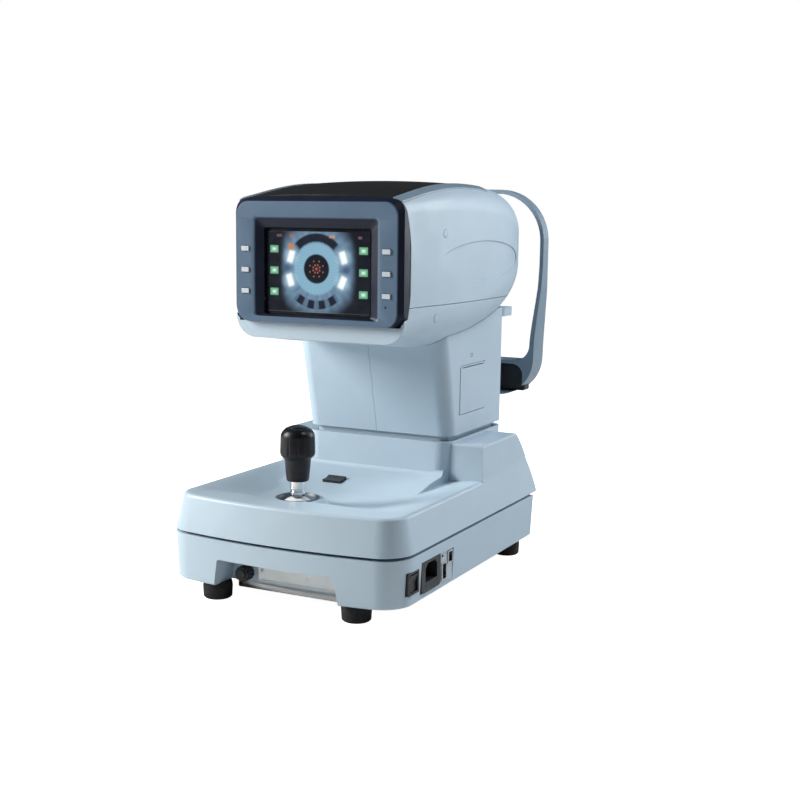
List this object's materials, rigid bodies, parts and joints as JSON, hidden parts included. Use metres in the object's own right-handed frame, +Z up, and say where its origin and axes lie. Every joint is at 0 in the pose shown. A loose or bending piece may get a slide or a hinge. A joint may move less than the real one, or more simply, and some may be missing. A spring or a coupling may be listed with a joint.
{
  "type": "autorefractor",
  "caption": "Table-top autorefractor: measuring head with a screen on a lifting neck, joystick cross stage, side printer door, and a face frame with a chin rest.",
  "frame": {"origin": "under the middle of the whole object, on the surface it stands on", "axes": "+Z up, +Y from the operator's side to the patient's side, +X to the operator's right"},
  "size_m": [0.272, 0.459, 0.428],
  "materials": {
    "case": "satin moulded",
    "trim": "satin",
    "bezel": "satin",
    "cover": "semi-gloss",
    "black": "satin",
    "grip": "soft",
    "rubber": "matt",
    "pad": "soft silicone",
    "chin": "smooth",
    "white": "smooth",
    "ring": "satin",
    "key": "satin",
    "screen": "gloss",
    "socket": "plated",
    "pale_plate": "satin",
    "steel": "zinc plated",
    "chrome": "polished",
    "alloy": "cast",
    "rack": "machined",
    "bearing": "acetal",
    "board": "solder mask",
    "inner": "moulded",
    "paper": "thermal paper",
    "glass": "coated"
  },
  "bodies": {
    "base": {"base_tray": "case", "base_plate": "steel", "rubber_feet": "rubber", "connector_panel": "pale_plate", "data_sockets": "socket", "power_inlet": "black", "switch_housing": "black", "power_supply": "steel", "stage_racks": "rack", "frame_column": "case", "face_frame": "trim", "forehead_rest": "pad", "chin_lift_motor": "black"},
    "power_rocker": {"power_rocker": "black"},
    "fuse_drawer": {"fuse_drawer": "black"},
    "lock_knob": {"lock_knob": "black"},
    "chin_rest": {"chin_cup": "chin", "chin_stem": "steel"},
    "chin_lift_screw": {"chin_lift_screw": "steel"},
    "carriage": {"axle_blocks": "bearing"},
    "cross_axle": {"cross_axle": "steel", "rack_wheels": "bearing"},
    "stage": {"stage_plate": "steel", "stage_cover": "case", "stage_bushes": "bearing", "joystick_ring": "ring", "lift_motor": "black", "guide_rods": "steel", "main_board": "board"},
    "chin_rocker": {"chin_rocker": "black"},
    "lift_screw": {"lift_screw": "steel"},
    "joystick_gimbal": {"joystick_gimbal": "bearing"},
    "joystick": {"joystick_shaft": "chrome", "joystick_dome": "white"},
    "joystick_grip": {"joystick_grip": "grip"},
    "measure_button": {"measure_button": "grip"},
    "head": {"head_chassis": "alloy", "inner_sleeve": "case", "neck_cover_left": "case", "neck_cover_right": "case", "lower_shell": "case", "left_shell": "case", "right_shell": "case", "top_cover": "cover", "trim_rails": "trim", "display_bezel": "bezel", "lcd_panel": "screen", "window_ring": "black", "window_glass": "glass", "optical_barrel": "alloy", "objective_lens": "glass", "printer_frame": "inner"},
    "printer_door": {"printer_door": "case"},
    "paper_roll": {"paper_roll": "paper"},
    "key_left_upper": {"key_left_upper": "key"},
    "key_left_middle": {"key_left_middle": "key"},
    "key_left_lower": {"key_left_lower": "key"},
    "key_right_upper": {"key_right_upper": "key"},
    "key_right_middle": {"key_right_middle": "key"},
    "key_right_lower": {"key_right_lower": "key"}
  },
  "joints": [
    {"name": "stage_fore_aft", "type": "slide", "parent": "base", "child": "carriage", "axis": [0, 1, 0], "range_m": [-0.02, 0.02]},
    {"name": "axle_roll", "type": "hinge", "parent": "carriage", "child": "cross_axle", "pos_m": [0, -0.0495, 0.0775], "axis": [1, 0, 0], "range_deg": [-96, 96]},
    {"name": "stage_sideways", "type": "slide", "parent": "carriage", "child": "stage", "axis": [1, 0, 0], "range_m": [-0.04, 0.04]},
    {"name": "column_lift", "type": "slide", "parent": "stage", "child": "head", "axis": [0, 0, 1], "range_m": [-0.003, 0.03]},
    {"name": "lift_screw_turn", "type": "hinge", "parent": "stage", "child": "lift_screw", "pos_m": [0, 0.0655, 0.1], "axis": [0, 0, 1], "range_deg": [-110, 1090]},
    {"name": "joystick_fore_aft", "type": "hinge", "parent": "stage", "child": "joystick_gimbal", "pos_m": [-0.007, -0.1675, 0.084], "axis": [1, 0, 0], "range_deg": [-10, 10]},
    {"name": "joystick_sideways", "type": "hinge", "parent": "joystick_gimbal", "child": "joystick", "pos_m": [-0.007, -0.1675, 0.084], "axis": [0, 1, 0], "range_deg": [-10, 10]},
    {"name": "grip_turn", "type": "hinge", "parent": "joystick", "child": "joystick_grip", "pos_m": [-0.007, -0.1675, 0.15], "axis": [0, 0, 1], "continuous": true},
    {"name": "measure_press", "type": "slide", "parent": "joystick_grip", "child": "measure_button", "axis": [0, 0, -1], "range_m": [0, 0.0016], "stiffness_N_per_m": 600},
    {"name": "chin_rocker_tilt", "type": "hinge", "parent": "stage", "child": "chin_rocker", "pos_m": [-0.023, -0.06308, 0.10035], "axis": [1, 0, 0], "range_deg": [-7, 7], "stiffness_Nm_per_rad": 0.05},
    {"name": "chin_lift", "type": "slide", "parent": "base", "child": "chin_rest", "axis": [0, 0, 1], "range_m": [0, 0.05]},
    {"name": "chin_screw_turn", "type": "hinge", "parent": "base", "child": "chin_lift_screw", "pos_m": [0, 0.2105, 0.1], "axis": [0, 0, 1], "range_deg": [0, 2260]},
    {"name": "power_switch", "type": "hinge", "parent": "base", "child": "power_rocker", "pos_m": [0.129, -0.1875, 0.0405], "axis": [0, 1, 0], "range_deg": [-14, 0]},
    {"name": "fuse_drawer_pull", "type": "slide", "parent": "base", "child": "fuse_drawer", "axis": [1, 0, 0], "range_m": [0, 0.02]},
    {"name": "lock_turn", "type": "hinge", "parent": "base", "child": "lock_knob", "pos_m": [-0.052, -0.1975, 0.027], "axis": [0, -1, 0], "range_deg": [0, 90]},
    {"name": "printer_door_open", "type": "hinge", "parent": "head", "child": "printer_door", "pos_m": [0.0898, 0.0485, 0.1744], "axis": [0, 1, 0], "range_deg": [0, 95]},
    {"name": "paper_roll_spin", "type": "hinge", "parent": "head", "child": "paper_roll", "pos_m": [0.0665, 0.0485, 0.199], "axis": [0, 1, 0], "continuous": true},
    {"name": "key_left_upper_press", "type": "slide", "parent": "head", "child": "key_left_upper", "axis": [0, 1, 0], "range_m": [0, 0.001], "stiffness_N_per_m": 300},
    {"name": "key_left_middle_press", "type": "slide", "parent": "head", "child": "key_left_middle", "axis": [0, 1, 0], "range_m": [0, 0.001], "stiffness_N_per_m": 300},
    {"name": "key_left_lower_press", "type": "slide", "parent": "head", "child": "key_left_lower", "axis": [0, 1, 0], "range_m": [0, 0.001], "stiffness_N_per_m": 300},
    {"name": "key_right_upper_press", "type": "slide", "parent": "head", "child": "key_right_upper", "axis": [0, 1, 0], "range_m": [0, 0.001], "stiffness_N_per_m": 300},
    {"name": "key_right_middle_press", "type": "slide", "parent": "head", "child": "key_right_middle", "axis": [0, 1, 0], "range_m": [0, 0.001], "stiffness_N_per_m": 300},
    {"name": "key_right_lower_press", "type": "slide", "parent": "head", "child": "key_right_lower", "axis": [0, 1, 0], "range_m": [0, 0.001], "stiffness_N_per_m": 300}
  ],
  "couplings": [
    {"joint": "axle_roll", "follows": "stage_fore_aft", "rad_per_m": -83.333},
    {"joint": "lift_screw_turn", "follows": "column_lift", "rad_per_m": 628.32},
    {"joint": "chin_screw_turn", "follows": "chin_lift", "rad_per_m": 785.4}
  ]
}
